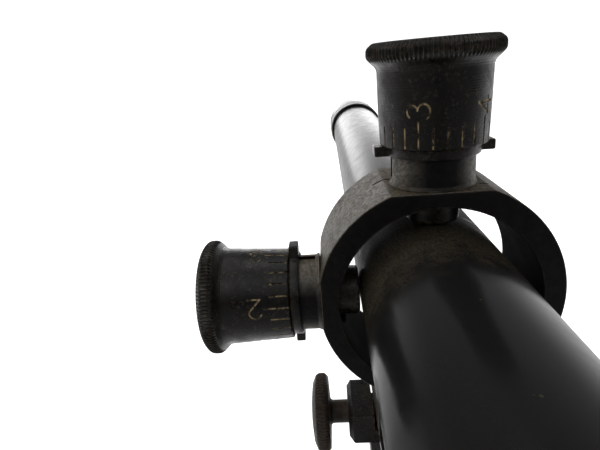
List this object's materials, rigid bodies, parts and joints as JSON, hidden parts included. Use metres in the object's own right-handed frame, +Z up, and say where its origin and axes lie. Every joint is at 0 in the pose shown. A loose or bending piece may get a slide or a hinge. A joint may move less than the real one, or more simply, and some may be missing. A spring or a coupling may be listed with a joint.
{
  "type": "target telescope sight",
  "caption": "Slim telescope tube in two clamp-on dovetail mounts, with elevation and windage micrometer knobs on the rear ring.",
  "frame": {"origin": "centre of the rear base's underside", "axes": "+Z up to the elevation knob, +Y along the tube to the eyepiece, -X to the windage knob"},
  "size_m": [0.0463, 0.3877, 0.0648],
  "materials": {
    "worn_steel": "blueing worn to grey-brown, satin",
    "blued_steel": "black blueing, satin, worn at the edges",
    "brown_steel": "brown rust patina, dull satin",
    "bright_steel": "ground bright",
    "black_enamel": "glossy black enamel with dust and specks",
    "matt_black": "matt optical black",
    "brass": "dull turned brass",
    "glass": "polished optical glass"
  },
  "bodies": {
    "root": {"rear_ring": "worn_steel", "elevation_sleeve": "worn_steel", "windage_sleeve": "worn_steel", "bow_spring": "bright_steel", "bow_spring_screw": "blued_steel", "rear_base": "blued_steel", "rear_base_screw_front": "brown_steel", "rear_base_screw_back": "brown_steel", "front_ring": "worn_steel", "front_retainer": "blued_steel", "front_base": "blued_steel", "front_base_screw_front": "brown_steel", "front_base_screw_back": "brown_steel"},
    "elevation_index": {"elevation_index_ring": "blued_steel"},
    "elevation_knob": {"elevation_thimble": "blued_steel", "elevation_spindle": "blued_steel", "elevation_cap_screw": "blued_steel", "elevation_click_spring": "bright_steel"},
    "windage_index": {"windage_index_ring": "blued_steel"},
    "windage_knob": {"windage_thimble": "blued_steel", "windage_spindle": "blued_steel", "windage_cap_screw": "blued_steel", "windage_click_spring": "bright_steel"},
    "rear_clamp_jaw": {"rear_jaw": "blued_steel"},
    "rear_clamp_screw": {"rear_thumbscrew": "brown_steel"},
    "front_clamp_jaw": {"front_jaw": "blued_steel"},
    "front_clamp_screw": {"front_thumbscrew": "brown_steel"},
    "bush": {"front_bush": "bright_steel"},
    "tube": {"main_tube": "black_enamel", "stop_collar": "blued_steel", "stop_collar_screw": "blued_steel", "erector_cell": "brass", "erector_front_lens": "glass", "erector_rear_lens": "glass", "erector_front_retainer": "matt_black", "erector_rear_retainer": "matt_black", "erector_screw_1": "blued_steel", "erector_screw_2": "blued_steel", "reticle_ring": "brass", "crosshair": "matt_black", "reticle_screw_1": "blued_steel", "reticle_screw_2": "blued_steel", "reticle_screw_3": "blued_steel"},
    "objective_optics": {"objective_crown_lens": "glass", "objective_flint_lens": "glass"},
    "objective": {"objective_cell": "black_enamel", "objective_retainer": "matt_black"},
    "objective_lock": {"objective_lock_ring": "bright_steel"},
    "eyepiece_optics": {"field_lens": "glass", "eye_lens": "glass"},
    "eyepiece": {"eyepiece_shell": "black_enamel", "eye_retainer": "matt_black", "field_lens_retainer": "matt_black", "field_stop": "matt_black"},
    "eyepiece_lock": {"eyepiece_lock_ring": "bright_steel"}
  },
  "joints": [
    {"name": "elevation_travel", "type": "slide", "parent": "root", "child": "elevation_index", "axis": [0, 0, 1], "range_m": [-0.00191, 0.00191]},
    {"name": "elevation_turn", "type": "hinge", "parent": "elevation_index", "child": "elevation_knob", "pos_m": [0, -0.00185, 0.0533], "axis": [0, 0, 1], "range_deg": [-1080, 1080]},
    {"name": "windage_travel", "type": "slide", "parent": "root", "child": "windage_index", "axis": [-1, 0, 0], "range_m": [-0.00191, 0.00191]},
    {"name": "windage_turn", "type": "hinge", "parent": "windage_index", "child": "windage_knob", "pos_m": [-0.0186, -0.00185, 0.034], "axis": [-1, 0, 0], "range_deg": [-1080, 1080]},
    {"name": "tube_yaw", "type": "hinge", "parent": "root", "child": "bush", "pos_m": [0, -0.18288, 0.034], "axis": [0, 0, 1], "range_deg": [-0.61, 0.61]},
    {"name": "tube_pitch", "type": "hinge", "parent": "bush", "child": "tube", "pos_m": [0, -0.18288, 0.034], "axis": [1, 0, 0], "range_deg": [-0.61, 0.61], "deforming": ["bow_spring"]},
    {"name": "rear_clamp_travel", "type": "slide", "parent": "root", "child": "rear_clamp_jaw", "axis": [-1, 0, 0], "range_m": [0, 0.00238]},
    {"name": "rear_clamp_turn", "type": "hinge", "parent": "rear_clamp_jaw", "child": "rear_clamp_screw", "pos_m": [-0.0149, 0, 0.01205], "axis": [-1, 0, 0], "range_deg": [0, 1080]},
    {"name": "front_clamp_travel", "type": "slide", "parent": "root", "child": "front_clamp_jaw", "axis": [-1, 0, 0], "range_m": [0, 0.00238]},
    {"name": "front_clamp_turn", "type": "hinge", "parent": "front_clamp_jaw", "child": "front_clamp_screw", "pos_m": [-0.0149, -0.18288, 0.01205], "axis": [-1, 0, 0], "range_deg": [0, 1080]},
    {"name": "objective_travel", "type": "slide", "parent": "tube", "child": "objective_optics", "axis": [0, -1, 0], "range_m": [0, 0.0012]},
    {"name": "objective_turn", "type": "hinge", "parent": "objective_optics", "child": "objective", "pos_m": [0, -0.217, 0.034], "axis": [0, -1, 0], "range_deg": [0, 720]},
    {"name": "objective_lock_turn", "type": "hinge", "parent": "tube", "child": "objective_lock", "pos_m": [0, -0.21, 0.034], "axis": [0, -1, 0], "range_deg": [-90, 0]},
    {"name": "eyepiece_travel", "type": "slide", "parent": "tube", "child": "eyepiece_optics", "axis": [0, 1, 0], "range_m": [0, 0.0027]},
    {"name": "eyepiece_turn", "type": "hinge", "parent": "eyepiece_optics", "child": "eyepiece", "pos_m": [0, 0.157, 0.034], "axis": [0, 1, 0], "range_deg": [0, 1080]},
    {"name": "eyepiece_lock_turn", "type": "hinge", "parent": "tube", "child": "eyepiece_lock", "pos_m": [0, 0.146, 0.034], "axis": [0, 1, 0], "range_deg": [-90, 0]}
  ],
  "couplings": [
    {"joint": "elevation_travel", "follows": "elevation_turn", "m_per_rad": 0.00010106},
    {"joint": "tube_pitch", "follows": "elevation_turn", "ratio": 0.00055827},
    {"joint": "windage_travel", "follows": "windage_turn", "m_per_rad": 0.00010106},
    {"joint": "tube_yaw", "follows": "windage_turn", "ratio": 0.00055827},
    {"joint": "rear_clamp_turn", "follows": "rear_clamp_travel", "rad_per_m": 7915.8},
    {"joint": "front_clamp_turn", "follows": "front_clamp_travel", "rad_per_m": 7915.8},
    {"joint": "objective_turn", "follows": "objective_travel", "rad_per_m": 10472},
    {"joint": "eyepiece_turn", "follows": "eyepiece_travel", "rad_per_m": 6981.3}
  ]
}
